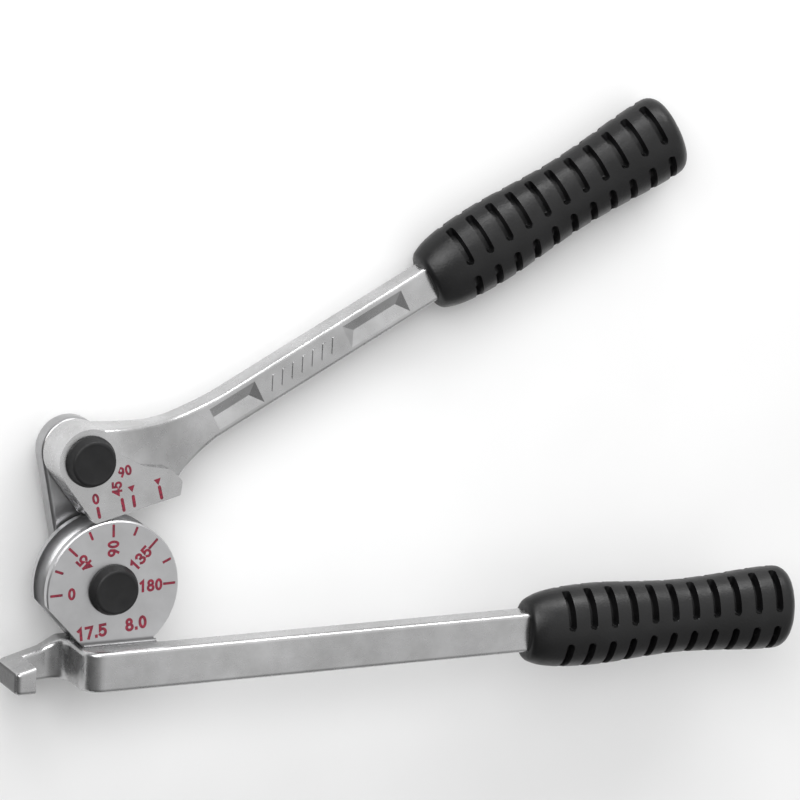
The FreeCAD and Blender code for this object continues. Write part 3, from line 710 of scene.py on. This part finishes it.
def add_numeral(name, text, centre, turn, height, face, body, material):
    """Painted digits, centred on a point of a face and turned about the face's normal."""
    unit = height / GLYPH_HEIGHT
    advances = [GLYPH_DOT if character == "." else GLYPH_ADVANCE for character in text]
    pen = -(sum(advances) - (GLYPH_ADVANCE - GLYPH_WIDTH)) / 2
    bm = bmesh.new()
    for character, advance in zip(text, advances):
        shift = pen - (0.5 * (GLYPH_ADVANCE - GLYPH_DOT) if character == "." else 0.0)
        for layer, stroke in enumerate(glyph(character)):
            path = [((x + shift) * unit, (y - GLYPH_HEIGHT / 2) * unit) for x, y in stroke]
            add_ribbon(bm, path, height * PEN_SHARE, -PAINT_SINK, PAINT + layer * STROKE_LIFT)
        pen += advance
    bmesh.ops.scale(bm, vec=(MM, MM, MM), verts=bm.verts)
    place = WHEEL + Vector((centre[0], centre[1], face)) * MM
    bm.transform(Matrix.Translation(place) @ Matrix.Rotation(math.radians(turn), 4, "Z"))
    numeral = mesh_object(name, bm, material)
    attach(numeral, body)


def make_wheel_numerals(material):
    """Bend angles that read outwards beside the long ticks, and the bend radius and tube size below."""
    for step, text in enumerate(DIAL_NUMERALS):
        angle = step * DIAL_NUMERAL_PITCH + DIAL_ZERO_TURN
        reach = DIAL_NUMERAL_REACH + DIAL_NUMERAL_REACH_STEP * step
        centre = (reach * math.cos(math.radians(angle)), reach * math.sin(math.radians(angle)))
        name = "wheel_numeral_" + text
        add_numeral(name, text, centre, angle, DIAL_NUMERAL_HEIGHT, WHEEL_FACE, "lower_handle", material)
    for name, text, centre in SIZE_NUMERALS:
        add_numeral(
            name, text, centre, SIZE_NUMERAL_TURN, SIZE_NUMERAL_HEIGHT, WHEEL_FACE, "lower_handle", material
        )


def make_shoe_marks(material):
    """Index lines along the shoe's lower edge, with numerals and small pointers over them."""
    bm = bmesh.new()
    for start, end in SHOE_LINES:
        add_bar(bm, start, end, SHOE_LINE_WIDTH, SHOE_FACE - PAINT_SINK, SHOE_FACE + PAINT)
    for centre in SHOE_POINTERS:
        add_pointer(bm, centre, SHOE_POINTER_REACH)
    bm.transform(Matrix.Translation(WHEEL))
    lines = mesh_object("shoe_line_paint", bm, material)
    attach(lines, "upper_handle")
    turn = math.degrees(SHOE_TURN)
    for name, text, centre, height, extra in SHOE_NUMERALS:
        add_numeral(name, text, centre, turn + extra, height, SHOE_FACE, "upper_handle", material)


def add_pointer(bm, centre, reach):
    """A small triangle that points down at its index line."""
    rings = []
    for height in (SHOE_FACE - PAINT_SINK, SHOE_FACE + PAINT):
        ring = []
        for corner in range(3):
            angle = SHOE_TURN + math.radians(-90 + corner * 120)
            x = centre[0] + reach * math.cos(angle)
            y = centre[1] + reach * math.sin(angle)
            ring.append(bm.verts.new(Vector((x, y, height)) * MM))
        rings.append(ring)
    join_rings(bm, rings)
    bm.faces.new(rings[0])
    bm.faces.new(rings[1])


# ----------------------------------------------------------------- the studio

CAMERA_TURN = math.radians(26.499)
CAMERA_LIFT = math.radians(14.058)
CAMERA_ROLL = math.radians(2.813)
CAMERA_DISTANCE = 1341.463 * MM
AIM_RIGHT = 79.227 * MM
AIM_UP = 49.26 * MM
SENSOR_WIDTH = 36.0
FOCAL_LENGTH = 225.0
VIEW_END = 20.0
FLOOR_REACH = 3.0
WORLD_STRENGTH = 1.5
SOFTBOXES = (
    # name, place from the tool's middle, size in metres, power in watts
    ("key_light", (-0.62, 0.60, 0.96), (0.9, 0.9), 12.5),
    ("edge_light", (0.25, 1.10, 0.55), (1.1, 0.3), 8.0),
)
# Greys of the surroundings along Y and along X; a position of 0 is the far negative side.
GREYS_ACROSS = [(0.0, 0.18), (0.28, 0.38), (0.40, 0.63), (0.60, 0.64), (0.85, 0.80), (1.0, 0.86)]
GREYS_ALONG = [(0.0, 0.13), (0.36, 0.36), (0.64, 1.0), (0.80, 0.96), (1.0, 0.58)]


def add_camera():
    """Looks down on the lying tool, from the dial's left and from beyond the upper handle's side."""
    back = Vector((
        -math.sin(CAMERA_TURN) * math.cos(CAMERA_LIFT),
        math.sin(CAMERA_LIFT),
        math.cos(CAMERA_TURN) * math.cos(CAMERA_LIFT),
    ))
    level = Vector((0, 1, 0)).cross(back).normalized()
    upright = back.cross(level)
    right = level * math.cos(CAMERA_ROLL) + upright * math.sin(CAMERA_ROLL)
    up = upright * math.cos(CAMERA_ROLL) - level * math.sin(CAMERA_ROLL)
    eye = WHEEL + right * AIM_RIGHT + up * AIM_UP + back * CAMERA_DISTANCE
    data = bpy.data.cameras.new("camera")
    data.sensor_width = SENSOR_WIDTH
    data.lens = FOCAL_LENGTH
    data.clip_end = VIEW_END
    camera = bpy.data.objects.new("camera", data)
    camera.matrix_world = Matrix.Translation(eye) @ Matrix((right, up, back)).transposed().to_4x4()
    bpy.context.collection.objects.link(camera)
    bpy.context.scene.camera = camera


def add_softbox(name, place, aim, size, power):
    """A rectangular area light, aimed at a point."""
    data = bpy.data.lights.new(name, "AREA")
    data.shape = "RECTANGLE"
    data.size, data.size_y = size
    data.energy = power
    light = bpy.data.objects.new(name, data)
    light.location = Vector(place)
    light.rotation_euler = (Vector(aim) - Vector(place)).to_track_quat("-Z", "Y").to_euler()
    bpy.context.collection.objects.link(light)


def add_lights():
    """The studio's softboxes, all aimed at the tool's middle."""
    for name, place, size, power in SOFTBOXES:
        add_softbox(name, MIDDLE + Vector(place), MIDDLE, size, power)


def axis_shades(tree, direction, greys):
    """Greys along one axis of the surroundings, from -1 to 1."""
    reach = tree.nodes.new("ShaderNodeMapRange")
    reach.inputs["From Min"].default_value = -1.0
    reach.inputs["From Max"].default_value = 1.0
    tree.links.new(direction, reach.inputs["Value"])
    shades = tree.nodes.new("ShaderNodeValToRGB")
    set_stops(shades, [(position, (grey, grey, grey)) for position, grey in greys])
    tree.links.new(reach.outputs["Result"], shades.inputs["Fac"])
    return shades.outputs["Color"]


def set_world():
    """A soft grey studio: bright beyond the upper handle, dim beyond the hook and below the lower handle."""
    world = bpy.data.worlds.new("studio")
    world.use_nodes = True
    bpy.context.scene.world = world
    tree = world.node_tree
    background = tree.nodes["Background"]
    background.inputs["Strength"].default_value = WORLD_STRENGTH
    place = tree.nodes.new("ShaderNodeTexCoord")
    parts = tree.nodes.new("ShaderNodeSeparateXYZ")
    tree.links.new(place.outputs["Generated"], parts.inputs["Vector"])
    both = tree.nodes.new("ShaderNodeVectorMath")
    both.operation = "MULTIPLY"
    tree.links.new(axis_shades(tree, parts.outputs["Y"], GREYS_ACROSS), both.inputs[0])
    tree.links.new(axis_shades(tree, parts.outputs["X"], GREYS_ALONG), both.inputs[1])
    tree.links.new(both.outputs["Vector"], background.inputs["Color"])


def add_floor(material):
    """A wide pale sheet under the tool."""
    reach = FLOOR_REACH
    bm = bmesh.new()
    corners = [(-reach, -reach), (reach, -reach), (reach, reach), (-reach, reach)]
    bm.faces.new([bm.verts.new((MIDDLE.x + x, MIDDLE.y + y, 0.0)) for x, y in corners])
    floor = mesh_object("floor", bm, material)


def make_materials():
    """Every finish of the tool and the floor, by its short name."""
    return {
        # The forged and wheel steels darken in bands of painted shade: at the hook's end, in the wheel's
        # groove and at the wheel's foot.
        "forged": plated_steel(
            "forged_steel", (0.47, 0.47, 0.47), (0.60, 0.60, 0.605), roughness=0.27, grain=0.14,
            shade_bands=[HOOK_END_SHADE],
        ),
        "wheel": plated_steel(
            "wheel_steel", (0.54, 0.54, 0.545), (0.63, 0.63, 0.64), roughness=0.35, grain=0.16,
            shade_bands=[GROOVE_SHADE, FOOT_CORNER_SHADE],
        ),
        # The link steel is a darker copy of the plated steel: painted shade for the link, which lies behind
        # the handles.
        "link": plated_steel(
            "link_steel", (0.33, 0.33, 0.335), (0.44, 0.44, 0.445), roughness=0.30, grain=0.10
        ),
        "turned": turned_steel("turned_steel", (0.55, 0.55, 0.56), roughness=0.28),
        "dark": turned_steel("dark_spring_steel", (0.16, 0.16, 0.17), roughness=0.35),
        "bronze": sintered_bronze(),
        "rubber": grip_rubber(),
        "cap": cap_plastic(),
        "paint": red_paint(),
        "floor": floor_paper(),
    }


def main():
    """Materials first, then the pieces that replace or dress CAD nodes, then the studio."""
    bpy.context.scene.view_settings.view_transform = "Standard"
    materials = make_materials()
    paint_cad_nodes(materials)
    make_grips(materials["rubber"])
    make_cap("wheel_pin_cover", "wheel_pin_cap", "lower_handle", materials["cap"])
    make_cap("shoe_pin_cover", "shoe_pin_cap", "link", materials["cap"])
    make_wheel_ticks(materials["paint"])
    make_wheel_numerals(materials["paint"])
    make_shoe_marks(materials["paint"])
    add_floor(materials["floor"])
    set_world()
    add_lights()
    add_camera()


main()
